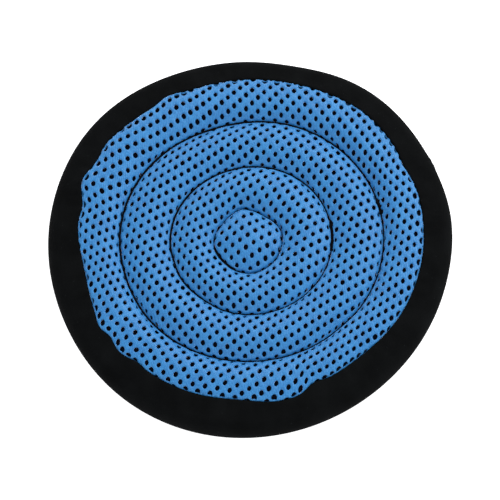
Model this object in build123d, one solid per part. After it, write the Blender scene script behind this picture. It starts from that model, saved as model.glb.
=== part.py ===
"""A soft flying disc: a quilted pad faced with perforated sports mesh, and a cord-filled cloth rim sewn round it.

Lengths are in millimetres, +Z is up, and the origin is at the centre of the underside, where the disc rests.
Every piece is turned about Z, so its section is drawn in the XZ plane. The pad is the same on both faces. The
heavier rim hangs a little lower than the pad's middle, so the disc rests on its rim.
"""

from build123d import *

import os
from math import acos, atan2, cos, degrees, hypot, sin

# Driving dimensions of the whole disc.
DISC_RADIUS = 110.0
DISC_HEIGHT = 19.0
PAD_CLEARANCE = 0.4
SEAM_RADIUS = 94.5
SEAM_BELOW_CREST = 1.0
STITCH_RADII = (18.5, 44.0, 72.0)
QUILT_DEPTH = 4.5

# The cloths, and the room left between one layer and the next.
MESH_THICKNESS = 1.4
LINING_THICKNESS = 0.4
BAND_THICKNESS = 1.2
SEAM_ALLOWANCE = 4.0
SEAM_STITCH_DEPTH = 2.6
LAYER_GAP = 0.03
FOAM_GAP = 0.6

# The rim: a tube of cloth round a soft cord, whose two ends are butted and taped.
RIM_TUBE_RADIUS = 8.0
RIM_CENTRE_HEIGHT = 7.9
CORD_RADIUS = 6.2
CORD_BUTT_GAP = 0.1
CORD_BUTT_ANGLE = 189.0
TAPE_THICKNESS = 0.25
TAPE_LENGTH = 30.0
BAND_JOIN_ANGLE = 17.0

# The threads. Each quilting circle's last stitches run over its first, and its ends are knotted there.
QUILT_THREAD_RADIUS = 0.3
SEAM_THREAD_RADIUS = 0.22
OVERLAP_STEP = 0.4
OVERLAPS = ((190.0, 241.0), (-17.0, 5.0), (4.0, 10.0))
KNOT_ANGLES = (238.0, -7.5, 8.5)
KNOT_RADII = (0.6, 0.8, 1.3)

# Worked out from the above.
MID_HEIGHT = (DISC_HEIGHT + PAD_CLEARANCE) / 2
VALLEY_HEIGHT = DISC_HEIGHT - QUILT_DEPTH
SEAM_HEIGHT = DISC_HEIGHT - SEAM_BELOW_CREST
RIM_CENTRE_RADIUS = DISC_RADIUS - RIM_TUBE_RADIUS
LINING_DEPTH = MESH_THICKNESS + LAYER_GAP
FOAM_DEPTH = LINING_DEPTH + LINING_THICKNESS + FOAM_GAP


def turned(section, angle=360.0, start=0.0):
    """The solid that an XZ section makes when it is turned about Z, from one angle round to another."""
    return Rot(0, 0, start) * revolve(Plane.XZ * section, Axis.Z, revolution_arc=angle)


def lowered(point):
    """A section point's image in the pad's lower face."""
    return (point[0], 2 * MID_HEIGHT - point[1])


def underside(solid):
    """The same piece on the pad's lower face."""
    return mirror(solid, Plane.XY.offset(MID_HEIGHT))


# The pad: mesh, lining and foam, quilted together by three circles of stitches.


def crest_arc(foot, crest):
    """An arc that rises from its foot and is level at the crest."""
    run = crest[0] - foot[0]
    rise = crest[1] - foot[1]
    radius = (run**2 + rise**2) / (2 * rise)
    half = atan2(run, radius - rise) / 2
    between = (crest[0] - radius * sin(half), crest[1] - radius * (1 - cos(half)))
    return ThreePointArc(foot, between, crest)


def pad_edge(depth):
    """The outermost section point of a layer that lies this deep under the pad's face."""
    return (SEAM_RADIUS - depth, SEAM_HEIGHT - depth)


def quilted_surface(depth):
    """The upper surface of a layer that lies this deep, from the axis out to its edge: a bulge in each channel."""
    feet = [(radius, VALLEY_HEIGHT - depth) for radius in STITCH_RADII]
    feet.append(pad_edge(depth))
    crest_height = DISC_HEIGHT - depth
    edges = [crest_arc(feet[0], (0, crest_height))]
    for inside, outside in zip(feet, feet[1:]):
        crest = ((inside[0] + outside[0]) / 2, crest_height)
        edges.append(crest_arc(inside, crest))
        edges.append(crest_arc(outside, crest))
    return edges


def turned_in(edge, inner_edge):
    """The section points of a cloth's edge, turned in at the seam."""
    hem_height = SEAM_HEIGHT - SEAM_ALLOWANCE
    return [edge, (edge[0], hem_height), (inner_edge[0], hem_height), inner_edge]


def cloth_layer(depth, thickness):
    """One cloth of the upper face, with its edge turned down into the seam."""
    under = depth + thickness
    hem = turned_in(pad_edge(depth), pad_edge(under))
    outline = quilted_surface(depth) + quilted_surface(under)
    outline.append(Line((0, DISC_HEIGHT - depth), (0, DISC_HEIGHT - under)))
    outline.append(Polyline(*hem))
    return turned(make_face(Curve() + outline))


def foam_core():
    """One disc of soft foam, squeezed thin under the three stitch circles."""
    top = (0, DISC_HEIGHT - FOAM_DEPTH)
    edge = pad_edge(FOAM_DEPTH)
    outline = quilted_surface(FOAM_DEPTH)
    outline.append(Polyline(edge, (edge[0], MID_HEIGHT), (0, MID_HEIGHT), top))
    upper_half = turned(make_face(Curve() + outline))
    return upper_half + underside(upper_half)


# The rim: the band of cloth, and the cord and the tape inside it.


def touch_point(start, radius):
    """Where a straight line from a seam comes down on, or up to, a circle about the rim's centre."""
    across = start[0] - RIM_CENTRE_RADIUS
    up = start[1] - RIM_CENTRE_HEIGHT
    turn = acos(radius / hypot(across, up))
    angle = atan2(up, across) - (turn if up > 0 else -turn)
    return (RIM_CENTRE_RADIUS + radius * cos(angle), RIM_CENTRE_HEIGHT + radius * sin(angle))


def band_surface(edge, radius):
    """One surface of the band's section, from the top seam out round the tube and back to the bottom seam."""
    top, bottom = touch_point(edge, radius), touch_point(lowered(edge), radius)
    outermost = (RIM_CENTRE_RADIUS + radius, RIM_CENTRE_HEIGHT)
    return [
        Line(edge, top),
        ThreePointArc(top, outermost, bottom),
        Line(bottom, lowered(edge)),
    ]


def rim_band():
    """The cloth that covers the cord, with both edges turned in at the seams. It is flat where it rests."""
    edge = (SEAM_RADIUS + LAYER_GAP, SEAM_HEIGHT)
    inner_edge = (edge[0] + BAND_THICKNESS, SEAM_HEIGHT - BAND_THICKNESS)
    hem = turned_in(edge, inner_edge)
    outline = band_surface(edge, RIM_TUBE_RADIUS)
    outline += band_surface(inner_edge, RIM_TUBE_RADIUS - BAND_THICKNESS)
    outline.append(Polyline(*hem))
    outline.append(Polyline(*[lowered(point) for point in hem]))
    floor = Pos(0, 0, -DISC_HEIGHT / 2) * Cylinder(DISC_RADIUS, DISC_HEIGHT)
    return turned(make_face(Curve() + outline)) - floor


def rim_cord():
    """The soft cord that gives the rim its body and its weight, cut where its two ends meet."""
    gap = degrees(CORD_BUTT_GAP / RIM_CENTRE_RADIUS)
    section = Pos(RIM_CENTRE_RADIUS, RIM_CENTRE_HEIGHT) * Circle(CORD_RADIUS)
    return turned(section, 360 - gap, CORD_BUTT_ANGLE + gap / 2)


def rim_cord_tape():
    """The tape wrapped round the cord's two ends."""
    inside = CORD_RADIUS + LAYER_GAP
    ring = Circle(inside + TAPE_THICKNESS) - Circle(inside)
    span = degrees(TAPE_LENGTH / RIM_CENTRE_RADIUS)
    section = Pos(RIM_CENTRE_RADIUS, RIM_CENTRE_HEIGHT) * ring
    return turned(section, span, CORD_BUTT_ANGLE - span / 2)


# The threads, each one a ring where its stitches lie.


def groove_height(index, radius):
    """How high the centre of something round lies in a quilting groove, resting on the steeper flank."""
    feet = (*STITCH_RADII, SEAM_RADIUS)
    foot = feet[index]
    run_in = (foot - feet[index - 1]) / 2 if index else foot
    run_out = (feet[index + 1] - foot) / 2
    steepest = 2 * atan2(QUILT_DEPTH, min(run_in, run_out))
    return VALLEY_HEIGHT + radius / cos(steepest) + LAYER_GAP


def stitch_ring(index):
    """One quilting circle's thread, pulled down into its groove."""
    height = groove_height(index, QUILT_THREAD_RADIUS)
    return turned(Pos(STITCH_RADII[index], height) * Circle(QUILT_THREAD_RADIUS))


def needle_thread(index):
    """A quilting circle's upper thread, with its overlapping last stitches and its knotted ends."""
    radius = STITCH_RADII[index]
    start, end = OVERLAPS[index]
    height = groove_height(index, QUILT_THREAD_RADIUS) + OVERLAP_STEP
    overlap = turned(Pos(radius, height) * Circle(QUILT_THREAD_RADIUS), end - start, start)
    knot_height = groove_height(index, KNOT_RADII[index])
    knot = Rot(0, 0, KNOT_ANGLES[index]) * Pos(radius, 0, knot_height) * Sphere(KNOT_RADII[index])
    return stitch_ring(index) + overlap + knot


def seam_thread(radius):
    """One thread of the seam that joins the upper cloths to the band, on one side of their turned-in edges."""
    return turned(Pos(radius, SEAM_HEIGHT - SEAM_STITCH_DEPTH) * Circle(SEAM_THREAD_RADIUS))


def band_join_thread():
    """The stitches that close the strip of cloth into a hoop, across the band and inside it."""
    path_radius = RIM_TUBE_RADIUS - BAND_THICKNESS - SEAM_THREAD_RADIUS - LAYER_GAP
    tube_axis = Axis((RIM_CENTRE_RADIUS, 0, RIM_CENTRE_HEIGHT), (0, 1, 0))
    lowest = Plane.YZ.offset(RIM_CENTRE_RADIUS) * Pos(0, RIM_CENTRE_HEIGHT - path_radius)
    half_turn = revolve(lowest * Circle(SEAM_THREAD_RADIUS), tube_axis, revolution_arc=-180)
    return Rot(0, 0, BAND_JOIN_ANGLE) * half_turn


def all_parts():
    top_mesh = cloth_layer(0, MESH_THICKNESS)
    top_lining = cloth_layer(LINING_DEPTH, LINING_THICKNESS)
    thread_room = SEAM_THREAD_RADIUS + LAYER_GAP
    band_side = seam_thread(SEAM_RADIUS + LAYER_GAP + BAND_THICKNESS + thread_room)
    pad_side = seam_thread(SEAM_RADIUS - LINING_DEPTH - LINING_THICKNESS - thread_room)
    parts = {
        "top_mesh": top_mesh,
        "top_lining": top_lining,
        "foam_core": foam_core(),
        "bottom_lining": underside(top_lining),
        "bottom_mesh": underside(top_mesh),
        "rim_band": rim_band(),
        "rim_cord": rim_cord(),
        "rim_cord_tape": rim_cord_tape(),
        "band_join_thread": band_join_thread(),
        "top_seam_needle_thread": band_side,
        "top_seam_bobbin_thread": pad_side,
        "bottom_seam_needle_thread": underside(band_side),
        "bottom_seam_bobbin_thread": underside(pad_side),
    }
    for index, circle in enumerate(("inner", "middle", "outer")):
        parts[f"{circle}_needle_thread"] = needle_thread(index)
        parts[f"{circle}_bobbin_thread"] = underside(stitch_ring(index))
    return parts


os.makedirs("parts", exist_ok=True)
for name, part in all_parts().items():
    export_step(part, f"parts/{name}.step")
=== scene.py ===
"""A soft quilted flying disc, 220 mm across, lying on a pale table."""

import math

import bmesh
import bpy
import numpy as np
from mathutils import Matrix, Vector


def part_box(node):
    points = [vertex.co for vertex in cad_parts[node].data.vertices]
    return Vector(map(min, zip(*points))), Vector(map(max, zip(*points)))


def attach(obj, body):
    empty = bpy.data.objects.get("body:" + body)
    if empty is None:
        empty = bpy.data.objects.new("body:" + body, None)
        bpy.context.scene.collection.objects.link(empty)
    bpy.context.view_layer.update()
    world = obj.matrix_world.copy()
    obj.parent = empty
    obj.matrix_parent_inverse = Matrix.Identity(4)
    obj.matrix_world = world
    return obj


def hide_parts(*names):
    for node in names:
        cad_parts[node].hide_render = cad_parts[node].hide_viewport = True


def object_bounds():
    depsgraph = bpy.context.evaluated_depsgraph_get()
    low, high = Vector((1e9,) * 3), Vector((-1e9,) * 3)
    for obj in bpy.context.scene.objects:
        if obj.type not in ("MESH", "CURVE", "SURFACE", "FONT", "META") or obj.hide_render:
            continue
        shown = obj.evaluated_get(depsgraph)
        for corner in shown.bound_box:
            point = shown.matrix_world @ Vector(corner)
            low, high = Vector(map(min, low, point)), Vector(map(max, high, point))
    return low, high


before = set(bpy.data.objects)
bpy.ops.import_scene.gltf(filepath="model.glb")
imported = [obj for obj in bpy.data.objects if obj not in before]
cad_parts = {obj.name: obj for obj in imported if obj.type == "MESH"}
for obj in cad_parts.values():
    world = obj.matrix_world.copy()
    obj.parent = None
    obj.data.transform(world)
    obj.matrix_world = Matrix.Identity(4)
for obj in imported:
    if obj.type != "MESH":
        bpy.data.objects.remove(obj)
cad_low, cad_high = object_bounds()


# ---------------------------------------------------------------------------------------------------
# The camera: a long lens sixteen disc radii away, high in front and rolled a little. It looks at the
# middle of the rim.
MM = 0.001
centre_of_disc = Vector(((cad_low.x + cad_high.x) / 2, (cad_low.y + cad_high.y) / 2, cad_low.z))
disc_radius = (cad_high.x - cad_low.x) / 2
view_elevation = math.radians(65.8)
view_roll = math.radians(-7.6)
view_distance = 16 * disc_radius
view_width = 2.475 * disc_radius
aim_aside = 0.9 * MM
aim_below = 3.9 * MM
aim_height = 7.9 * MM

camera = bpy.data.objects.new("camera", bpy.data.cameras.new("camera"))
bpy.context.scene.collection.objects.link(camera)
camera.data.sensor_width = 36.0
camera.data.lens = camera.data.sensor_width * view_distance / view_width
camera.data.clip_end = 20.0
towards_camera = Vector((0, -math.cos(view_elevation), math.sin(view_elevation)))
upright = towards_camera.to_track_quat("Z", "Y").to_matrix().to_4x4()
turned_view = upright @ Matrix.Rotation(view_roll, 4, "Z")
rim_middle = centre_of_disc + Vector((0, 0, aim_height))
aim = rim_middle + turned_view.to_3x3() @ Vector((aim_aside, -aim_below, 0))
camera.matrix_world = Matrix.Translation(aim + towards_camera * view_distance) @ turned_view
bpy.context.scene.camera = camera


# ---------------------------------------------------------------------------------------------------
# The table: a plain pale matte surface, much wider than the disc.
table_half = 3.0
floor_mesh = bpy.data.meshes.new("table_top")
floor_mesh.from_pydata(
    [(x * table_half, y * table_half, cad_low.z) for x, y in ((-1, -1), (1, -1), (1, 1), (-1, 1))],
    [],
    [(0, 1, 2, 3)],
)
table_top = bpy.data.objects.new("table_top", floor_mesh)
bpy.context.scene.collection.objects.link(table_top)


def new_material(name, color, roughness, specular=0.5):
    """A principled material, its node tree and its shader, with its plain values set."""
    material = bpy.data.materials.new(name)
    material.use_nodes = True
    tree = material.node_tree
    shader = tree.nodes["Principled BSDF"]
    shader.inputs["Base Color"].default_value = (*color, 1)
    shader.inputs["Roughness"].default_value = roughness
    shader.inputs["Specular IOR Level"].default_value = specular
    return material, tree, shader


def add_node(tree, kind, settings=None, **inputs):
    """A node with its settings and inputs. An input that is a socket is linked, any other is a value."""
    node = tree.nodes.new(kind)
    for key, value in (settings or {}).items():
        setattr(node, key, value)
    for key, value in inputs.items():
        name = key.replace("_", " ")
        socket = node.inputs[int(key[1:])] if key[0] == "i" and key[1:].isdigit() else node.inputs[name]
        if isinstance(value, bpy.types.NodeSocket):
            tree.links.new(value, socket)
        else:
            socket.default_value = value
    return node


table_finish, _, table_shader = new_material("table_finish", (0.94, 0.94, 0.94), 0.8, 0.1)
table_shader.inputs["Emission Color"].default_value = (1, 1, 1, 1)
table_shader.inputs["Emission Strength"].default_value = 0.8
floor_mesh.materials.append(table_finish)


# ---------------------------------------------------------------------------------------------------
# The light: a wide soft lamp at the right and a little behind, weaker ones low behind and in front, and a
# pale even surround.
surround = bpy.data.worlds.new("surround")
bpy.context.scene.world = surround
surround.use_nodes = True
surround.node_tree.nodes["Background"].inputs["Color"].default_value = (0.95, 0.97, 1.0, 1)
surround.node_tree.nodes["Background"].inputs["Strength"].default_value = 0.67


def soft_lamp(name, place, size, power):
    """A square lamp that faces the disc."""
    lamp = bpy.data.objects.new(name, bpy.data.lights.new(name, "AREA"))
    lamp.data.shape = "SQUARE"
    lamp.data.size = size
    lamp.data.energy = power
    lamp.location = centre_of_disc + Vector(place)
    lamp.rotation_euler = (-Vector(place)).to_track_quat("-Z", "Y").to_euler()
    bpy.context.scene.collection.objects.link(lamp)


soft_lamp("lamp_right", (1.6, 0.75, 1.2), 0.9, 24)
soft_lamp("lamp_behind", (-0.2, 1.9, 0.8), 0.9, 14)
soft_lamp("lamp_front", (-0.3, -1.5, 1.3), 1.0, 9)
bpy.context.scene.view_settings.view_transform = "Standard"


# ---------------------------------------------------------------------------------------------------
# The two faces: heavy blue sports mesh, knitted with rows of oval holes, and one round cut to a face.
# Each is quilted to the foam along three circles of stitches, swells between them, and has its edge
# turned down into the rim seam. The swelling is a cloth simulation that starts from the sewn shape.
mesh_thickness = 0.9 * MM
hole_half_width = 1.2 * MM
hole_half_height = 1.62 * MM
row_pitch = 7.7 * MM
column_pitch = 7.3 * MM
row_turn = math.radians(-19.0)
column_turn = math.radians(75)
quilt_depth = 4.5 * MM
outer_puff_rise = 0.5 * MM
puff_fullness = 2.1
crease_depth = 1.4 * MM
crease_width = 0.65 * MM
welt_height = 0.6 * MM
welt_from_crease = 1.1 * MM
welt_width = 0.5 * MM
drawn_in = 0.5 * MM
lip_radius = 0.2 * MM
turned_down = 8.0 * MM
mesh_turned_in = 4 * MM
middle_gap = 0.3 * MM
middle_rows = 28
channel_rows = 44
lip_rows = 6
turned_down_rows = 10


def ring_radius(node):
    """The radius of the circle that a CAD thread follows."""
    low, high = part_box(node)
    return high.x - (high.z - low.z) / 2


stitch_radii = [ring_radius(f"{circle}_bobbin_thread") for circle in ("inner", "middle", "outer")]
seam_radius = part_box("top_mesh")[1].x
crest_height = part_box("top_mesh")[1].z
face_middle = (crest_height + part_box("bottom_mesh")[0].z) / 2
valley_height = crest_height - quilt_depth
seam_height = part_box("rim_band")[1].z


def sewn_profile():
    """The upper face in section: radii and heights from its middle out, with a row at each circle."""
    inner, middle, outer = stitch_radii
    even = np.linspace(0, 1, channel_rows + 1)[1:]
    share = (1 - np.cos(math.pi * even)) / 2
    radii = [middle_gap + (inner - middle_gap) * np.sin(np.linspace(0, math.pi / 2, middle_rows))]
    heights = [valley_height + quilt_depth * (1 - (radii[0] / inner) ** puff_fullness)]
    for start, end in ((inner, middle), (middle, outer)):
        radii.append(start + (end - start) * share)
        heights.append(valley_height + quilt_depth * (1 - np.abs(2 * share - 1) ** puff_fullness))
    last = seam_radius - lip_radius
    top = crest_height + outer_puff_rise
    radii.append(outer + (last - outer) * share)
    foot = np.where(share < 0.5, valley_height, seam_height)
    heights.append(top - (top - foot) * np.abs(2 * share - 1) ** puff_fullness)
    lip = np.radians(np.linspace(0, 90, lip_rows + 1)[1:])
    radii.append(last + lip_radius * np.sin(lip))
    heights.append(seam_height - lip_radius * (1 - np.cos(lip)))
    radii.append(np.full(turned_down_rows, seam_radius))
    heights.append(seam_height - lip_radius - turned_down * np.linspace(0, 1, turned_down_rows + 1)[1:])
    return np.concatenate(radii), np.concatenate(heights)


def pulled_down(radius):
    """How far the thread pulls the cloth down at a circle, less the small welt that rises beside it."""
    down = np.zeros_like(radius)
    for circle in stitch_radii:
        off = np.abs(radius - circle)
        down += crease_depth * np.exp(-((off / crease_width) ** 1.5))
        down -= welt_height * np.exp(-(((off - welt_from_crease) / welt_width) ** 2))
    return down


profile_radius, puffed_height = sewn_profile()
profile_height = puffed_height - pulled_down(profile_radius)
steps = np.hypot(np.diff(profile_radius), np.diff(profile_height))
cloth_reach = profile_radius[0] + np.concatenate([[0], np.cumsum(steps)])
seam_row = len(profile_radius) - turned_down_rows - 1
seam_reach = cloth_reach[seam_row]
stitch_reach = list(np.interp(stitch_radii, profile_radius[:seam_row], cloth_reach[:seam_row]))


# How the sewn face departs from a true round, in bumps and hollows given as (place and half width in
# degrees, size in millimetres), with the quilted panel a little off the rim's middle.
seam_bumps = (
    (18, 5, -1.5), (42, 15, 1.5), (110, 5, 2.0), (140, 15, 3.0), (143, 4, -1.5), (152, 4, 2.0),
    (161, 4, -1.5), (185, 15, -3.5), (206, 4, 1.5), (211, 3, -1.0), (217, 5, 1.5), (224, 3, -1.0),
    (245, 15, 1.0), (273, 9, 3.0), (280, 4, 1.0), (285, 4, -2.0), (302, 14, -1.5),
)
inner_bumps = (
    (95, 12, 1.2), (50, 20, -1.2), (8, 12, 0.5), (275, 25, 0.6), (215, 22, -0.6), (138, 18, -0.9),
)
middle_bumps = ((105, 30, -0.6), (190, 10, -0.5), (225, 15, -0.8))
outer_bumps = ((100, 25, -1.6), (190, 20, -1.0), (270, 50, -0.8), (305, 10, -0.5))
seam_aside = 0.9 * MM
quilt_aside = 1.7 * MM
quilt_near = 1.2 * MM
inner_aside = -1.8 * MM
inner_near = 0.5 * MM
bump_reach = 9.0 * MM


def bumps(angle, places):
    """How far a sewn line lies outside its true circle at each angle."""
    out = 0 * angle
    for place, half_width, size in places:
        away = (np.degrees(angle) - place + 180) % 360 - 180
        out = out + size * MM * np.exp(-((away / half_width) ** 2))
    return out


def seam_wander(angle):
    """How far the seam lies outside its true circle."""
    return seam_aside * np.cos(angle) + bumps(angle, seam_bumps)


def smooth_step(value, start, end):
    """From 0 at the start to 1 at the end, with no corner at either."""
    share = np.clip((value - start) / (end - start), 0, 1)
    return share * share * (3 - 2 * share)


def sewn_place(radius, height, angle):
    """The place of a point of the upper face, as sewn."""
    out = smooth_step(radius, stitch_radii[2], seam_radius) * seam_wander(angle)
    for circle, places in zip(stitch_radii, (inner_bumps, middle_bumps, outer_bumps)):
        out = out + bumps(angle, places) * np.exp(-(((radius - circle) / bump_reach) ** 2))
    inside = 1 - smooth_step(radius, stitch_radii[2], seam_radius)
    innermost = 1 - smooth_step(radius, stitch_radii[0], stitch_radii[1])
    x = (radius + out) * np.cos(angle) + quilt_aside * inside + inner_aside * innermost
    y = (radius + out) * np.sin(angle) - quilt_near * inside - inner_near * innermost
    return np.stack([x, y, height + 0 * angle], -1)


# The cloth simulation: a web of rings, six points more on each ring, held at the stitch circles and at
# the seam. Air pressure stands for the foam that pushes the mesh up, and the cloth is cut a little large.
rings_between = (8, 11, 12, 10, 2)
cloth_frames = 24
cloth_excess = 0.022
foam_pressure = 1.6
most_swelling = 1.6 * MM
pressed_flat = 0.9 * MM
cloth_seed = 4


def ring_reaches():
    """The distance out along the cloth of each ring of the web."""
    ends = [0.0, *stitch_reach, seam_reach, seam_reach + mesh_turned_in]
    reaches = [0.0]
    for start, end, count in zip(ends, ends[1:], rings_between):
        reaches += [start + (end - start) * (i + 1) / count for i in range(count)]
    return reaches


def web_faces(ring_count):
    """The triangles of the web. Ring k has 6k points, and its first index is 3k(k - 1) + 1."""
    faces = []
    for k in range(ring_count):
        inner_first, outer_first = 3 * k * (k - 1) + 1, 3 * k * (k + 1) + 1
        for sector in range(6):
            for i in range(k + 1):
                a = outer_first + (sector * (k + 1) + i) % (6 * (k + 1))
                b = outer_first + (sector * (k + 1) + i + 1) % (6 * (k + 1))
                c = inner_first + (sector * k + i) % (6 * k) if k else 0
                faces.append((a, b, c))
                if i < k:
                    d = inner_first + (sector * k + i + 1) % (6 * k)
                    faces.append((c, b, d))
    return faces


def swelling(seed):
    """How far the simulated cloth of a face moves from its sewn shape, ring by ring."""
    reaches = ring_reaches()
    radius = np.interp(reaches, cloth_reach, profile_radius)
    height = np.interp(reaches, cloth_reach, profile_height)
    start = [sewn_place(np.zeros(1), np.full(1, crest_height), np.zeros(1))]
    for k in range(1, len(reaches)):
        angle = np.arange(6 * k) * 2 * math.pi / (6 * k)
        start.append(sewn_place(np.full(6 * k, radius[k]), np.full(6 * k, height[k]), angle))
    points = np.concatenate(start)
    jitter = np.random.default_rng(seed)
    mesh = bpy.data.meshes.new("swelling_cloth")
    mesh.from_pydata(points.tolist(), [], web_faces(len(reaches) - 1))
    cloth = bpy.data.objects.new("swelling_cloth", mesh)
    bpy.context.scene.collection.objects.link(cloth)
    held = cloth.vertex_groups.new(name="held")
    loose = cloth.vertex_groups.new(name="loose")
    stops = np.cumsum(rings_between)
    for k in range(len(reaches)):
        first, count = (3 * k * (k - 1) + 1, 6 * k) if k else (0, 1)
        fixed = k in stops[:4] or k > stops[3]
        held.add(list(range(first, first + count)), 1.0 if fixed else 0.0, "REPLACE")
    for index in range(len(points)):
        loose.add([index], float(jitter.uniform(0.2, 1.0)), "REPLACE")
    cloth.modifiers.new("cloth", "CLOTH")
    settings = cloth.modifiers["cloth"].settings
    settings.quality = 8
    settings.mass = 0.3
    settings.vertex_group_mass = "held"
    settings.tension_stiffness = 20
    settings.compression_stiffness = 20
    settings.shear_stiffness = 10
    settings.bending_stiffness = 2.0
    settings.air_damping = 3
    settings.use_pressure = True
    settings.uniform_pressure_force = foam_pressure
    settings.vertex_group_shrink = "loose"
    settings.shrink_min = 0.0
    settings.shrink_max = -cloth_excess
    settings.effector_weights.gravity = 0
    cloth.modifiers["cloth"].point_cache.frame_end = cloth_frames
    for number in range(1, cloth_frames + 1):
        bpy.context.scene.frame_set(number)
    swollen = cloth.evaluated_get(bpy.context.evaluated_depsgraph_get()).to_mesh()
    moved = np.zeros(len(points) * 3)
    swollen.vertices.foreach_get("co", moved)
    moved = moved.reshape(-1, 3) - points
    bpy.context.scene.frame_set(1)
    bpy.data.objects.remove(cloth)
    bpy.data.meshes.remove(mesh)
    far = np.linalg.norm(moved, axis=1, keepdims=True)
    moved *= np.minimum(1, most_swelling / np.maximum(far, 1e-9))
    outer_rings = [moved[3 * k * (k - 1) + 1 : 3 * k * (k + 1) + 1] for k in range(1, len(reaches))]
    return [moved[:1], *outer_rings]


# The finished upper face on a fine round grid: rows out along the cloth, columns round the disc.
columns = 720
column_angle = np.arange(columns) * 2 * math.pi / columns
simulated = swelling(cloth_seed)


def face_grid(height):
    """Places and outward directions of the upper face on the grid."""
    grid = sewn_place(profile_radius[:, None], height[:, None], column_angle[None, :])
    if simulated:
        on_rings = np.zeros((len(simulated), columns, 3))
        for k, moved in enumerate(simulated):
            ring_angle = np.arange(len(moved)) * 2 * math.pi / len(moved)
            for axis in range(3):
                on_rings[k, :, axis] = np.interp(column_angle, ring_angle, moved[:, axis], period=2 * math.pi)
        place = np.interp(cloth_reach, ring_reaches(), np.arange(len(simulated)))
        below = np.minimum(place.astype(int), len(simulated) - 2)
        share = (place - below)[:, None, None]
        grid += on_rings[below] * (1 - share) + on_rings[below + 1] * share
    along = np.gradient(grid, axis=0)
    round_it = (np.roll(grid, -1, axis=1) - np.roll(grid, 1, axis=1)) / 2
    outward = np.cross(along, round_it)
    outward /= np.linalg.norm(outward, axis=2, keepdims=True)
    return grid, outward


top_face = face_grid(profile_height)
inner_face = face_grid(puffed_height - crease_depth * smooth_step(profile_radius, 0, stitch_radii[0]) / 2)


def on_face(reach, angle, offset=0.0, face=None):
    """Places on the upper face, this far out along the cloth and this far off its surface."""
    grid, outward = top_face if face is None else face
    row = np.interp(reach, cloth_reach, np.arange(len(cloth_reach)))
    row_0 = np.minimum(row.astype(int), len(cloth_reach) - 2)
    row_share = (row - row_0)[..., None]
    column = np.mod(angle / (2 * math.pi) * columns, columns)
    column_0 = column.astype(int) % columns
    column_share = (column - np.floor(column))[..., None]
    column_1 = (column_0 + 1) % columns

    def blended(values):
        near = values[row_0, column_0] * (1 - column_share) + values[row_0, column_1] * column_share
        far = values[row_0 + 1, column_0] * (1 - column_share) + values[row_0 + 1, column_1] * column_share
        return near * (1 - row_share) + far * row_share

    direction = blended(outward)
    direction /= np.linalg.norm(direction, axis=-1, keepdims=True)
    return blended(grid) + direction * np.asarray(offset)[..., None]


def under_face(places):
    """The same places on the lower face, whose swells are pressed flat where they rest on the table."""
    places = places * (1, 1, -1) + (0, 0, 2 * face_middle)
    low = places[..., 2] < cad_low.z + pressed_flat
    pressed = pressed_flat * np.exp((places[..., 2] - cad_low.z - pressed_flat) / pressed_flat)
    places[..., 2] = np.where(low, cad_low.z + pressed, places[..., 2])
    return places


def add_piece(name, places, faces, material, slot, flip=False, cloth_map=None):
    """A smooth-shaded piece on the disc. The cloth map gives each point's place in the flat cloth."""
    mesh = bpy.data.meshes.new(name)
    faces = np.asarray(faces)
    if flip:
        faces = faces[:, ::-1]
    sides = faces.shape[1]
    mesh.vertices.add(len(places))
    mesh.vertices.foreach_set("co", np.asarray(places, dtype=np.float32).ravel())
    mesh.loops.add(faces.size)
    mesh.loops.foreach_set("vertex_index", faces.ravel().astype(np.int32))
    mesh.polygons.add(len(faces))
    mesh.polygons.foreach_set("loop_start", (np.arange(len(faces)) * sides).astype(np.int32))
    mesh.polygons.foreach_set("use_smooth", np.ones(len(faces), dtype=bool))
    if cloth_map is not None:
        layer = mesh.uv_layers.new(name="cloth")
        layer.data.foreach_set("uv", cloth_map[faces.ravel()].astype(np.float32).ravel())
    mesh.update(calc_edges=True)
    mesh.validate()
    mesh.materials.append(material)
    piece = bpy.data.objects.new(name, mesh)
    bpy.context.scene.collection.objects.link(piece)
    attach(piece, "root")
    return piece


# One repeat of the knit is a lozenge of cloth with a hole in it. Its twelve edge points are shared with
# its neighbours, and rings of twelve lead in over the plump rim of the hole and down through it. Towards
# the seam the holes lie shorter and wider. Beside it they are pulled open, and past it pressed shut.
first_hole = (3.0 * MM, -3.0 * MM)
ring_shares = (0.25, 0.0, 0.0)
ring_heights = (-0.04, -0.32, -0.85)
fine_reach = 2.0 * MM
seam_opening = 0.3
shortened_out = 0.08
widened_round = 0.16
opening_reach = 2.5 * MM
pressed_shut = 1.2 * MM
shut_hole = 0.05
hole_unevenness = 0.08
hole_seed = 11
knit_crown = 0.10
knit_points = [(0, 0), (1, 0), (2, 0), (3, 0), (3, 1), (3, 2), (3, 3), (2, 3), (1, 3), (0, 3), (0, 2), (0, 1)]
repeats_each_way = 34


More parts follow.
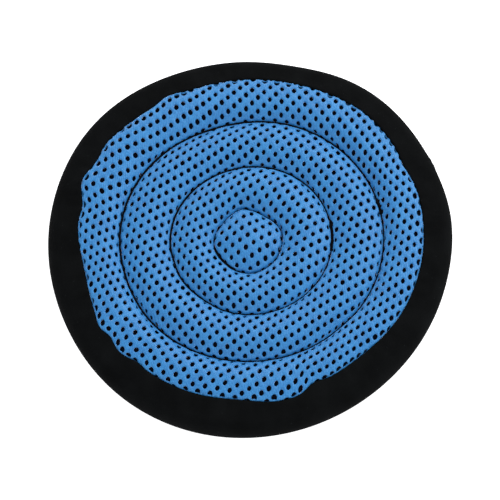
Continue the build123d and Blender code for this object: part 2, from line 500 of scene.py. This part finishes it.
def perforated_cloth(name, lattice_turn, origin, under, material, slot):
    """The knitted mesh of a face, as one closed piece."""
    turn = column_turn + lattice_turn
    row = np.array([math.cos(row_turn + lattice_turn), math.sin(row_turn + lattice_turn)]) * row_pitch
    column = np.array([math.cos(turn), math.sin(turn)]) * column_pitch
    one, other = (row + column) / 2, (row - column) / 2
    each_way = np.arange(-repeats_each_way, repeats_each_way)
    i, j = [places.ravel() for places in np.meshgrid(each_way, each_way, indexing="ij")]
    middle = origin + i[:, None] * one + j[:, None] * other
    kept = np.hypot(middle[:, 0], middle[:, 1]) < cloth_reach[-1] - mesh_turned_in
    cells, middle = np.stack([i, j], 1)[kept], middle[kept]
    corners = cells[:, None, :] * 3 + np.array(knit_points)[None, :, :]
    nodes, ids = np.unique(corners.reshape(-1, 2), axis=0, return_inverse=True)
    ids = ids.reshape(-1, 12)
    lattice = (nodes - 1.5) / 3
    node_flat = origin + lattice[:, :1] * one + lattice[:, 1:] * other
    at_corner = (nodes % 3 == 0).all(1)
    edge_flat = node_flat[ids]
    away = edge_flat - middle[:, None, :]
    heading = np.arctan2(away[..., 1], away[..., 0]) - column_turn - lattice_turn
    along, across = np.cos(heading) * hole_half_height, np.sin(heading) * hole_half_width
    hole = np.stack([along * math.cos(turn) - across * math.sin(turn),
                     along * math.sin(turn) + across * math.cos(turn)], -1)
    outwards = (middle / np.linalg.norm(middle, axis=1, keepdims=True))[:, None, :]
    eased = (np.linalg.norm(middle, axis=1) / seam_reach)[:, None, None]
    radial = (hole * outwards).sum(2, keepdims=True) * outwards
    hole = radial * (1 - shortened_out * eased) + (hole - radial) * (1 + widened_round * eased)
    unevenness = np.random.default_rng(hole_seed)
    scale = unevenness.uniform(1 - hole_unevenness, 1 + hole_unevenness, len(cells))[:, None, None]
    from_seam = np.abs(np.hypot(middle[:, 0], middle[:, 1]) - seam_reach)[:, None, None]
    scale = scale * (1 + seam_opening * np.exp(-((from_seam / opening_reach) ** 2)))
    scale[np.hypot(middle[:, 0], middle[:, 1]) > seam_reach + pressed_shut] *= shut_hole
    hole_flat = middle[:, None, :] + hole * scale
    flats, heights = [node_flat], [np.where(at_corner, knit_crown, 0.0) * MM]
    rings = [ids]
    for share, height in zip(ring_shares, ring_heights):
        rings.append(len(nodes) + (len(rings) - 1) * ids.size + np.arange(ids.size).reshape(ids.shape))
        flats.append((hole_flat + share * (edge_flat - hole_flat)).reshape(-1, 2))
        heights.append(np.full(ids.size, height * MM))
    under_first = len(nodes) + ids.size * len(ring_shares)
    flats.append(node_flat)
    heights.append(np.full(len(nodes), -mesh_thickness))
    rings.append(ids + under_first)
    faces = []
    for outer_ring, inner_ring in zip(rings, rings[1:]):
        faces.append(np.stack([outer_ring, np.roll(outer_ring, -1, 1),
                               np.roll(inner_ring, -1, 1), inner_ring], -1).reshape(-1, 4))
    edges = np.stack([ids, np.roll(ids, -1, 1)], -1).reshape(-1, 2)
    key = np.sort(edges, 1)
    _, first, uses = np.unique(key, axis=0, return_index=True, return_counts=True)
    rim = edges[first[uses == 1]]
    faces.append(np.stack([rim[:, 1], rim[:, 0], rim[:, 0] + under_first, rim[:, 1] + under_first], -1))
    coarse = (np.concatenate(flats), np.concatenate(heights), np.concatenate(faces))
    flat, height, faces = finer_at_stitches(*coarse)
    reach, angle = np.hypot(flat[:, 0], flat[:, 1]), np.arctan2(flat[:, 1], flat[:, 0])
    for circle in stitch_reach:
        off = reach - circle
        near = np.abs(off) < drawn_in
        reach[near] = circle + off[near] * np.abs(off[near]) / drawn_in
    places = on_face(reach, angle, height)
    turned_back = np.array([[math.cos(turn), math.sin(turn)], [-math.sin(turn), math.cos(turn)]])
    cloth_map = flat @ turned_back.T / (100 * MM)
    if under:
        places = under_face(places)
    return add_piece(name, places, faces, material, slot, flip=under, cloth_map=cloth_map)


def finer_at_stitches(flat, height, faces):
    """The flat cloth with the faces of its upper side cut in four both ways beside the stitch circles."""
    mesh = bpy.data.meshes.new("flat_cloth")
    mesh.from_pydata(np.column_stack([flat, height]).tolist(), [], faces.tolist())
    cloth = bmesh.new()
    cloth.from_mesh(mesh)
    reach = np.hypot(flat[:, 0], flat[:, 1])
    beside = np.min([np.abs(reach - circle) for circle in stitch_reach], axis=0) < fine_reach
    upper = beside & (height > -0.1 * MM)
    edges = [edge for edge in cloth.edges if upper[edge.verts[0].index] and upper[edge.verts[1].index]]
    bmesh.ops.subdivide_edges(cloth, edges=edges, cuts=3, use_grid_fill=True)
    bmesh.ops.triangulate(cloth, faces=cloth.faces)
    cloth.to_mesh(mesh)
    cloth.free()
    points = np.zeros(len(mesh.vertices) * 3)
    mesh.vertices.foreach_get("co", points)
    corners = np.zeros(len(mesh.loops), dtype=np.int32)
    mesh.loops.foreach_get("vertex_index", corners)
    bpy.data.meshes.remove(mesh)
    points = points.reshape(-1, 3)
    return points[:, :2], points[:, 2], corners.reshape(-1, 3)


def mesh_knit():
    """Blue polyester knit: fine loops in columns, a soft sheen, and a slightly uneven dye and yarn."""
    material, tree, shader = new_material("blue_sports_mesh", (0.03, 0.21, 0.53), 0.45, 0.45)
    flat = add_node(tree, "ShaderNodeUVMap", {"uv_map": "cloth"}).outputs["UV"]
    cloudy = add_node(tree, "ShaderNodeTexNoise", Vector=flat, Scale=9.0, Detail=3.0, Roughness=0.6)
    mottled = add_node(tree, "ShaderNodeTexNoise", Vector=flat, Scale=110.0, Detail=3.0, Roughness=0.7)
    wales = add_node(tree, "ShaderNodeTexWave", {"wave_type": "BANDS", "bands_direction": "Y"}, Vector=flat,
                     Scale=33.0, Distortion=3.0, Detail=2.0)
    wales.inputs["Detail Scale"].default_value = 3.0
    weighed = {"operation": "MULTIPLY_ADD"}
    uneven = add_node(tree, "ShaderNodeMath", weighed, i0=cloudy.outputs["Fac"], i1=0.35,
                      i2=mottled.outputs["Fac"])
    yarn = add_node(tree, "ShaderNodeMath", weighed, i0=wales.outputs["Fac"], i1=0.12, i2=uneven.outputs[0])
    colour = add_node(tree, "ShaderNodeValToRGB", Fac=yarn.outputs[0])
    colour.color_ramp.elements[0].position = 0.52
    colour.color_ramp.elements[0].color = (0.012, 0.14, 0.41, 1)
    colour.color_ramp.elements[1].position = 0.92
    colour.color_ramp.elements[1].color = (0.036, 0.275, 0.63, 1)
    tree.links.new(colour.outputs["Color"], shader.inputs["Base Color"])
    fine = add_node(tree, "ShaderNodeTexNoise", Vector=flat, Scale=240.0, Detail=2.0)
    added = {"operation": "ADD"}
    raised = add_node(tree, "ShaderNodeMath", added, i0=wales.outputs["Fac"], i1=fine.outputs["Fac"])
    bump = add_node(tree, "ShaderNodeBump", Height=raised.outputs[0], Strength=0.6, Distance=0.00016)
    tree.links.new(bump.outputs["Normal"], shader.inputs["Normal"])
    shader.inputs["Sheen Weight"].default_value = 0.9
    shader.inputs["Sheen Roughness"].default_value = 0.18
    shader.inputs["Sheen Tint"].default_value = (0.78, 0.8, 1.0, 1)
    return material


blue_mesh = mesh_knit()
top_mesh = perforated_cloth("top_mesh_cloth", 0.0, np.array(first_hole), False, blue_mesh, "face_mesh")
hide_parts("top_mesh")
bottom_mesh = perforated_cloth("bottom_mesh_cloth", math.radians(31), np.array((-1.1, 2.3)) * MM, True,
                               blue_mesh, "face_mesh")
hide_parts("bottom_mesh")


# ---------------------------------------------------------------------------------------------------
# The linings: thin navy-black cloth between the mesh and the foam, which shows through the mesh's holes.
# Its near-black colour is partly painted shade: it also stands in for the shade deep inside the holes.
# Each is a round cut, quilted with the mesh and turned down with it into the seam.
lining_thickness = 0.3 * MM
lining_gap = 0.3 * MM
lining_columns = 360
lining_turned_in = 3 * MM


def dark_lining_painted_shade():
    """Thin dark woven cloth, quite matte, near black as partly painted shade for the holes it shows through.
    """
    material, tree, shader = new_material("navy_black_lining_painted_hole_shade", (0.003, 0.003, 0.008), 0.9, 0.08)
    place = add_node(tree, "ShaderNodeTexCoord").outputs["Object"]
    weave = add_node(tree, "ShaderNodeTexNoise", Vector=place, Scale=1500.0, Detail=2.0)
    bump = add_node(tree, "ShaderNodeBump", Height=weave.outputs["Fac"], Strength=0.4, Distance=0.0001)
    tree.links.new(bump.outputs["Normal"], shader.inputs["Normal"])
    return material


def grid_faces(rows, across):
    """The quads of a grid of rows that each go right round."""
    first = (np.arange(rows - 1)[:, None] * across + np.arange(across)[None, :]).ravel()
    last = (np.arange(rows - 1)[:, None] * across + (np.arange(across)[None, :] + 1) % across).ravel()
    return np.stack([first, first + across, last + across, last], 1)


def closed_faces(rows, across):
    """The same, with the last row joined to the first."""
    return grid_faces(rows + 1, across) % (rows * across)


def lining(name, under, material):
    """A closed thin cloth just inside the mesh, with its edge turned down and a tiny hole at its middle."""
    angle = np.arange(lining_columns) * 2 * math.pi / lining_columns
    turned_in = seam_reach + lining_turned_in * np.array((1 / 3, 1))
    reach = np.concatenate([cloth_reach[: seam_row + 1 : 2], turned_in])
    layers = []
    for depth, order in ((mesh_thickness + lining_gap, slice(None)),
                         (mesh_thickness + lining_gap + lining_thickness, slice(None, None, -1))):
        layers.append(on_face(reach[order, None] + 0 * angle, angle[None, :] + 0 * reach[:, None],
                              np.full((len(reach), lining_columns), -depth), inner_face))
    places = np.concatenate(layers).reshape(-1, 3)
    faces = closed_faces(2 * len(reach), lining_columns)
    if under:
        places = under_face(places)
    return add_piece(name, places, faces, material, "lining_cloth", flip=under)


# The lining's near-black colour is partly painted shade, darkening the mesh's holes.
lining_cloth = dark_lining_painted_shade()
top_lining = lining("top_lining_cloth", False, lining_cloth)
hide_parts("top_lining")
bottom_lining = lining("bottom_lining_cloth", True, lining_cloth)
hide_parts("bottom_lining")


# ---------------------------------------------------------------------------------------------------
# The foam: one disc of soft open-cell foam, which fills the channels and is squeezed thin at the stitches.
foam_depth = 2.6 * MM
foam_edge = 3.0 * MM


def foam_finish():
    """Pale foam with open pores."""
    material, tree, shader = new_material("open_cell_foam", (0.62, 0.62, 0.56), 0.95, 0.1)
    place = add_node(tree, "ShaderNodeTexCoord").outputs["Object"]
    pores = add_node(tree, "ShaderNodeTexVoronoi", Vector=place, Scale=900.0)
    bump = add_node(tree, "ShaderNodeBump", Height=pores.outputs["Distance"], Strength=0.8, Distance=0.0004)
    tree.links.new(bump.outputs["Normal"], shader.inputs["Normal"])
    return material


def foam_filling():
    """The foam between the two linings, which stops short of the seam."""
    angle = np.arange(lining_columns) * 2 * math.pi / lining_columns
    reach = cloth_reach[cloth_reach < seam_reach - foam_edge][::2]
    upper = on_face(reach[:, None] + 0 * angle, angle[None, :] + 0 * reach[:, None], face=inner_face)
    upper = upper - (0, 0, foam_depth)
    places = np.concatenate([upper, under_face(upper)[::-1]])
    faces = closed_faces(2 * len(reach), lining_columns)
    piece = add_piece("foam_filling", places.reshape(-1, 3), faces, foam_finish(), "soft_foam")
    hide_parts("foam_core")


foam_filling()


# ---------------------------------------------------------------------------------------------------
# The rim band: one strip of matte black stretch cloth, sewn into a hoop and wrapped round the cord. Both
# edges are turned in at the seams, where it is eased in with small gathers.
band_thickness = 1.0 * MM
band_columns = 540
tube_low, tube_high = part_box("rim_cord")
tube_middle_height = (tube_low.z + tube_high.z) / 2
tube_middle_radius = tube_high.x - (tube_high.z - tube_low.z) / 2
tube_radius = disc_radius - tube_middle_radius
band_turned_in = 4.0 * MM
band_lip = 0.9 * MM
band_lip_turn = 62
band_lip_drop = 1.2 * MM
band_wrap_points = 34
band_rows = 62
crease_half = 0.02 * MM
join_place = math.radians(17)
join_ridge = 0.55 * MM
join_ridge_width = 3.2 * MM
join_groove = 0.5 * MM
join_groove_width = 0.8 * MM
rim_bumps = ((0, 15, 1.2), (45, 20, 2.0), (70, 12, -1.0), (130, 25, 3.0), (195, 25, -1.5), (255, 45, 3.0))
gather_count = 92
gather_depth = 0.22 * MM
gathers_clear = 0.8 * MM
gathers_deepest = 1.5 * MM
gathers_reach = 4.5 * MM


def band_section():
    """The band's outer surface in section, from the top seam out round the cord to the bottom seam."""
    edge = seam_radius + crease_half
    low_edge = 2 * face_middle - seam_height
    lip = np.radians(np.linspace(0, band_lip_turn, 7))
    lip_round = [(edge + band_lip * (1 - math.cos(turn)), band_lip * (1 - math.sin(turn))) for turn in lip]
    points = [(edge, seam_height - band_turned_in), (edge, seam_height - band_lip - band_lip_drop)]
    points += [(radius, seam_height - drop) for radius, drop in lip_round]

    def touching(from_radius, from_height, turn_back):
        """Where a straight line from a lip meets the round of the rim."""
        across, up = from_radius - tube_middle_radius, from_height - tube_middle_height
        return math.atan2(up, across) - turn_back * math.acos(tube_radius / math.hypot(across, up))

    start = touching(edge + band_lip, seam_height, 1)
    end = touching(edge + band_lip, low_edge, -1)
    for angle in np.linspace(start, end, band_wrap_points):
        points.append((tube_middle_radius + tube_radius * math.cos(angle),
                       tube_middle_height + tube_radius * math.sin(angle)))
    points += [(radius, low_edge + rise) for radius, rise in lip_round[::-1]]
    points += [(edge, low_edge + band_lip + band_lip_drop), (edge, low_edge + band_turned_in)]
    return np.array(points)


def resampled(points, count):
    """Points spaced evenly along a section, and softened once."""
    along = np.concatenate([[0], np.cumsum(np.hypot(*np.diff(points, axis=0).T))])
    even = np.linspace(0, along[-1], count)
    points = np.stack([np.interp(even, along, points[:, 0]), np.interp(even, along, points[:, 1])], 1)
    points[1:-1] = points[1:-1] / 2 + (points[:-2] + points[2:]) / 4
    return points


def rim_wander(angle):
    """How far the rim lies outside its true circle."""
    return bumps(angle, rim_bumps)


def band_places(section, inset, angle):
    """The band's surface, this far inside its outer one."""
    along = np.gradient(section, axis=0)
    normal = np.stack([-along[:, 1], along[:, 0]], 1)
    normal /= np.linalg.norm(normal, axis=1, keepdims=True)
    inside = section - normal * inset
    radius, height = inside[:, :1], inside[:, 1:]
    out = smooth_step(radius, seam_radius, tube_middle_radius)
    wander = (1 - out) * seam_wander(angle)[None, :] + out * rim_wander(angle)[None, :]
    phase = gather_count * angle + 2.2 * np.sin(5 * angle) + 1.3 * np.sin(11 * angle + 1)
    fade = np.exp(-(((radius - seam_radius - gathers_deepest) / gathers_reach) ** 2))
    fade *= smooth_step(radius, seam_radius + crease_half, seam_radius + gathers_clear)
    puckered = gather_depth * np.cos(phase)[None, :] * fade * (0.6 + 0.4 * np.sin(7 * angle + 2))[None, :]
    from_join = ((angle - join_place + math.pi) % (2 * math.pi) - math.pi) * tube_middle_radius
    ridge = join_ridge * np.exp(-((from_join / join_ridge_width) ** 2))
    ridge -= join_groove * np.exp(-((from_join / join_groove_width) ** 2))
    lift = puckered + ridge[None, :] * out
    radius = radius + wander + lift * normal[:, :1]
    height = np.maximum(height + lift * normal[:, 1:], cad_low.z + inset)
    return np.stack([radius * np.cos(angle), radius * np.sin(angle), height], -1)


def black_stretch_cloth():
    """Matte black knit with fine ribs, slightly patchy, with a few specks of lint."""
    material, tree, shader = new_material("black_stretch_cloth", (0.0042, 0.0046, 0.0048), 0.9, 0.02)
    flat = add_node(tree, "ShaderNodeUVMap", {"uv_map": "cloth"}).outputs["UV"]
    knit = add_node(tree, "ShaderNodeTexWave", {"wave_type": "BANDS", "bands_direction": "X"}, Vector=flat,
                    Scale=90.0, Distortion=3.0, Detail=2.0)
    grain = add_node(tree, "ShaderNodeTexNoise", Vector=flat, Scale=260.0, Detail=3.0)
    added = {"operation": "ADD"}
    both = add_node(tree, "ShaderNodeMath", added, i0=knit.outputs["Fac"], i1=grain.outputs["Fac"])
    bump = add_node(tree, "ShaderNodeBump", Height=both.outputs[0], Strength=0.45, Distance=0.00015)
    tree.links.new(bump.outputs["Normal"], shader.inputs["Normal"])
    lint = add_node(tree, "ShaderNodeTexVoronoi", {"feature": "F1"}, Vector=flat, Scale=26.0)
    below = {"operation": "LESS_THAN"}
    speck = add_node(tree, "ShaderNodeMath", below, i0=lint.outputs["Distance"], i1=0.055)
    patchy = add_node(tree, "ShaderNodeTexNoise", Vector=flat, Scale=7.0, Detail=3.0)
    tone = add_node(tree, "ShaderNodeValToRGB", Fac=patchy.outputs["Fac"])
    tone.color_ramp.elements[0].position = 0.35
    tone.color_ramp.elements[0].color = (0.0036, 0.0039, 0.0041, 1)
    tone.color_ramp.elements[1].position = 0.7
    tone.color_ramp.elements[1].color = (0.0056, 0.0061, 0.0064, 1)
    speckled = add_node(tree, "ShaderNodeMix", {"data_type": "RGBA"}, i0=speck.outputs[0],
                        i6=tone.outputs["Color"], i7=(0.016, 0.018, 0.019, 1))
    tree.links.new(speckled.outputs[2], shader.inputs["Base Color"])
    return material


def rim_band():
    """The strip as sewn, one closed sheet of its full thickness."""
    section = resampled(band_section(), band_rows)
    angle = np.arange(band_columns) * 2 * math.pi / band_columns
    outer = band_places(section, 0.0, angle)
    inner = band_places(section, band_thickness, angle)
    places = np.concatenate([outer, inner[::-1]])
    faces = closed_faces(len(places), band_columns)
    width = np.concatenate([[0], np.cumsum(np.hypot(*np.diff(section, axis=0).T))])
    strip = np.stack(np.broadcast_arrays(angle[None, :] * tube_middle_radius,
                                         np.concatenate([width, width[::-1]])[:, None]), -1)
    piece = add_piece("rim_band_cloth", places.reshape(-1, 3), faces, black_stretch_cloth(), "rim_cloth",
                      cloth_map=strip.reshape(-1, 2) / (100 * MM))
    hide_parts("rim_band")


rim_band()


# ---------------------------------------------------------------------------------------------------
# The stitches of the three circles: black polyester thread sewn through from face to face. Each stitch lies
# along the groove and dives at both ends. The last ones run over the first, and end in a knot and a tail.
thread_radii = (0.28 * MM, 0.45 * MM, 0.52 * MM)
thread_lifts = (0.3 * MM, 0.85 * MM, 1.0 * MM)
stitch_length = 3.1 * MM
stitch_dip = 0.35 * MM
overlaps = ((190, 241), (-17, 5), (4, 9))
overlap_lifts = (1.2 * MM, 1.6 * MM, 1.6 * MM)
overlap_radii = (0.55 * MM, 0.62 * MM, 0.55 * MM)
knot_lift = 0.5 * MM
knot_aside = 0.8 * MM
knot_thread_radii = (0.35 * MM, 0.5 * MM, 0.8 * MM)
slackest = math.radians(135)
slack_lifts = (0.0, 0.3 * MM, 0.3 * MM)
slack_plumps = (0.0, 0.3, 0.3)
knot_radii = (0.8 * MM, 1.1 * MM, 2.3 * MM)
knot_turns = 2.5
knot_winding = 1.5
knot_sway = 0.3
knot_rise = 0.4
knot_tightness = 0.75
knot_heading = math.radians(100)
tail_length = 4.0 * MM
tail_curl = 0.35


def tube(line, radius, sides=8, closed=False):
    """A round thread that follows a line of points, open ends capped."""
    line = np.asarray(line)
    count = len(line)
    ahead = np.roll(line, -1, 0) - np.roll(line, 1, 0) if closed else np.gradient(line, axis=0)
    ahead /= np.linalg.norm(ahead, axis=1, keepdims=True)
    side = np.cross(ahead, (0.02, 0.03, 1.0))
    side /= np.linalg.norm(side, axis=1, keepdims=True)
    up = np.cross(side, ahead)
    turn = np.arange(sides) * 2 * math.pi / sides
    radius = np.broadcast_to(radius, count)[:, None, None]
    places = line[:, None, :] + radius * (np.cos(turn)[None, :, None] * side[:, None, :]
                                          + np.sin(turn)[None, :, None] * up[:, None, :])
    faces = grid_faces(count + 1 if closed else count, sides)[:, ::-1] % (count * sides)
    if not closed:
        cap = np.array([(0, 1, 2, 3), (0, 3, 4, 7), (4, 5, 6, 7)])
        faces = np.concatenate([faces, cap[:, ::-1], cap + (count - 1) * sides])
    return places.reshape(-1, 3), faces


def joined(parts):
    """Several tubes as one piece."""
    places, faces, first = [], [], 0
    for part_places, part_faces in parts:
        places.append(part_places)
        faces.append(part_faces + first)
        first += len(part_places)
    return np.concatenate(places), np.concatenate(faces)


def black_thread_finish():
    """Twisted black thread."""
    material, tree, shader = new_material("black_thread", (0.002, 0.002, 0.004), 0.8, 0.06)
    place = add_node(tree, "ShaderNodeTexCoord").outputs["Object"]
    twist = add_node(tree, "ShaderNodeTexNoise", Vector=place, Scale=2500.0, Detail=1.0)
    bump = add_node(tree, "ShaderNodeBump", Height=twist.outputs["Fac"], Strength=0.5, Distance=0.0001)
    tree.links.new(bump.outputs["Normal"], shader.inputs["Normal"])
    return material


def stitched_line(index, start, end, lift):
    """The line of a circle's thread from one angle to another, this high above the bottom of its groove."""
    stitches = max(1, round(abs(end - start) * stitch_radii[index] / stitch_length))
    share = np.linspace(0, 1, stitches * 8 + 1)
    angle = start + (end - start) * share
    hump = np.abs(np.sin(math.pi * stitches * share)) ** 0.6
    line = on_face(np.full_like(angle, stitch_reach[index]), angle)
    line[:, 2] += lift + slack_lifts[index] * slack(angle) - stitch_dip * (1 - hump)
    return line


def slack(angle):
    """How slack the thread is, from -1, where it was pulled tight, to 1, where it stands up."""
    return np.cos(angle - slackest)


def knot_line(middle, size, heading):
    """A tight overhand knot: two and a half turns that wind over one another, then a short tail."""
    turn = np.linspace(0, knot_turns * 2 * math.pi, 60)
    out = 1 + knot_sway * np.cos(knot_winding * turn)
    wound = np.stack([np.cos(turn) * out, np.sin(turn) * out, knot_rise * np.sin(knot_winding * turn)], -1)
    wound *= size * knot_tightness
    away = np.linspace(0, 1, 12)[1:, None]
    ahead = np.array([math.cos(heading), math.sin(heading), 0.0])
    aside = np.array([-math.sin(heading), math.cos(heading), 0.0])
    tail = wound[-1] + ahead * tail_length * away + aside * tail_length * tail_curl * away**2
    tail[:, 2] -= 0.5 * MM * away[:, 0]
    return middle + np.concatenate([wound, tail])


black_thread = black_thread_finish()
for index, circle in enumerate(("inner", "middle", "outer")):
    radius, lift = thread_radii[index], thread_lifts[index]
    whole = stitched_line(index, 0, 2 * math.pi, lift)[:-1]
    plump = radius * (1 + slack_plumps[index] * slack(np.linspace(0, 2 * math.pi, len(whole) + 1)[:-1]))
    start, end = (math.radians(angle) for angle in overlaps[index])
    parts = [tube(whole, plump, closed=True)]
    for aside in (-overlap_radii[index], overlap_radii[index]):
        over = stitched_line(index, start, end, overlap_lifts[index])
        over[:, :2] *= 1 + aside / stitch_radii[index]
        parts.append(tube(over, overlap_radii[index]))
    knot_middle = over[-1] * (1 + knot_aside / stitch_radii[index], 1, 1) + (0, 0, knot_lift)
    knot = knot_line(knot_middle, knot_radii[index], end + knot_heading)
    parts.append(tube(knot, knot_thread_radii[index]))
    needle = add_piece(f"{circle}_needle_stitches", *joined(parts), black_thread, "black_thread")
    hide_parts(f"{circle}_needle_thread")
    places, faces = tube(under_face(whole), radius, closed=True)
    bobbin = add_piece(f"{circle}_bobbin_stitches", places, faces, black_thread, "black_thread")
    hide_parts(f"{circle}_bobbin_thread")


# ---------------------------------------------------------------------------------------------------
# The seams: a row of lockstitch through the turned-in edges of mesh, lining and band, all the way round on
# each side, and a short seam that closes the band into a hoop. All of it is hidden inside.
seam_thread_radius = 0.22 * MM
seam_columns = 720


def seam_thread(node):
    """A seam thread, wandering with the seam, with its stitches along and into the cloth."""
    thread_low, thread_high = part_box(node)
    middle = (thread_low.z + thread_high.z) / 2
    angle = np.arange(seam_columns) * 2 * math.pi / seam_columns
    stitches = round(2 * math.pi * ring_radius(node) / stitch_length)
    weave = stitch_dip * (1 - np.abs(np.sin(stitches * angle / 2)) ** 0.6)
    inwards = 1 if ring_radius(node) < seam_radius else -1
    radius = ring_radius(node) + seam_wander(angle) + inwards * weave
    line = np.stack([radius * np.cos(angle), radius * np.sin(angle), np.full(seam_columns, middle)], -1)
    return tube(line, seam_thread_radius, closed=True)


for side in ("top", "bottom"):
    for kind in ("needle", "bobbin"):
        thread = add_piece(f"{side}_seam_{kind}_stitches", *seam_thread(f"{side}_seam_{kind}_thread"),
                           black_thread, "black_thread")
        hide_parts(f"{side}_seam_{kind}_thread")


# ---------------------------------------------------------------------------------------------------
# The cord in the rim: a soft closed-cell foam rod, bent to a ring, with its ends butted together and held
# by a wrap of tape. It makes the rim plump and springs the disc back to its round shape.
cord_radius = (tube_high.z - tube_low.z) / 2
cord_butt = math.radians(189)
cord_gap = 0.15 * MM
cord_columns = 480
cord_unevenness = 0.08 * MM
tape_low, tape_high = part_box("rim_cord_tape")
tape_thickness = 0.25 * MM
tape_clear = 0.02 * MM
tape_overlap_rise = 0.12 * MM
tape_overlap_sides = 6
tape_half_angle = (tape_high.y - tape_low.y) / 2 / tube_middle_radius


def ring_tube(start, end, columns_along, radius, sides):
    """A rod that follows the rim from one angle to another."""
    angle = np.linspace(start, end, columns_along)
    out = tube_middle_radius + rim_wander(angle)
    height = np.full(columns_along, tube_middle_height)
    line = np.stack([out * np.cos(angle), out * np.sin(angle), height], -1)
    turn = np.arange(sides) * 2 * math.pi / sides
    outward = np.stack([np.cos(angle), np.sin(angle), 0 * angle], -1)
    return (line[:, None, :] + radius * (np.cos(turn)[None, :, None] * outward[:, None, :]
                                         + np.sin(turn)[None, :, None] * np.array((0, 0, 1.0))))


def foam_cord():
    """The rod with its slightly uneven skin and its two cut ends."""
    gap = cord_gap / tube_middle_radius
    sides = 24
    shell = ring_tube(cord_butt + gap, cord_butt + 2 * math.pi - gap, cord_columns, cord_radius, sides)
    turns = np.arange(cord_columns)[:, None] * 0.37 + np.arange(sides)[None, :] * 1.9
    hollow = cord_unevenness * np.sin(turns) * np.sin(np.arange(cord_columns) * 0.083)[:, None]
    centre = shell.mean(axis=1, keepdims=True)
    shell = centre + (shell - centre) * (1 - np.abs(hollow)[..., None] / cord_radius)
    rows = np.concatenate([centre[:1] + (shell[:1] - centre[:1]) * 0.02, shell,
                           centre[-1:] + (shell[-1:] - centre[-1:]) * 0.02])
    faces = grid_faces(len(rows), sides)
    last = (len(rows) - 1) * sides
    caps = np.array([[k, k + 1, sides - 2 - k, sides - 1 - k] for k in range(sides // 2 - 1)])
    faces = np.concatenate([faces, caps, caps[:, ::-1] + last])
    return rows.reshape(-1, 3), faces


def plain_finish(name, color, roughness, scale, depth):
    """A matte finish with a fine grain."""
    material, tree, shader = new_material(name, color, roughness, 0.2)
    place = add_node(tree, "ShaderNodeTexCoord").outputs["Object"]
    grain = add_node(tree, "ShaderNodeTexNoise", Vector=place, Scale=scale, Detail=3.0)
    bump = add_node(tree, "ShaderNodeBump", Height=grain.outputs["Fac"], Strength=0.6, Distance=depth)
    tree.links.new(bump.outputs["Normal"], shader.inputs["Normal"])
    tone = add_node(tree, "ShaderNodeValToRGB", Fac=grain.outputs["Fac"])
    tone.color_ramp.elements[0].color = (*(0.8 * c for c in color), 1)
    tone.color_ramp.elements[1].color = (*(min(1, 1.15 * c) for c in color), 1)
    tree.links.new(tone.outputs["Color"], shader.inputs["Base Color"])
    return material


cord_finish = plain_finish("closed_cell_foam", (0.42, 0.42, 0.4), 0.8, 600.0, 0.0003)
cord = add_piece("rim_foam_cord", *foam_cord(), cord_finish, "cord_foam", flip=True)
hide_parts("rim_cord")


def wrapped_tape():
    """A band of tape round the butted ends, with its overlap standing a little proud."""
    sides = 40
    start, end = cord_butt - tape_half_angle, cord_butt + tape_half_angle
    inner = ring_tube(start, end, 25, cord_radius + tape_clear, sides)
    outer = ring_tube(start, end, 25, cord_radius + tape_thickness, sides)
    rise = np.where(np.arange(sides) < tape_overlap_sides, tape_overlap_rise, 0)[None, :, None]
    centre = outer.mean(axis=1, keepdims=True)
    outer = centre + (outer - centre) * (1 + rise / cord_radius)
    rows = np.concatenate([outer, inner[::-1]])
    return rows.reshape(-1, 3), closed_faces(len(rows), sides)


tape_finish = plain_finish("joining_tape", (0.7, 0.62, 0.42), 0.6, 300.0, 0.0001)
tape = add_piece("cord_joining_tape", *wrapped_tape(), tape_finish, "joining_tape", flip=True)
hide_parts("rim_cord_tape")

# The short seam that closes the band into a hoop keeps the frame's own shape.
join_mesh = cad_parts["band_join_thread"].data
join_mesh.materials.clear()
join_mesh.materials.append(black_thread)
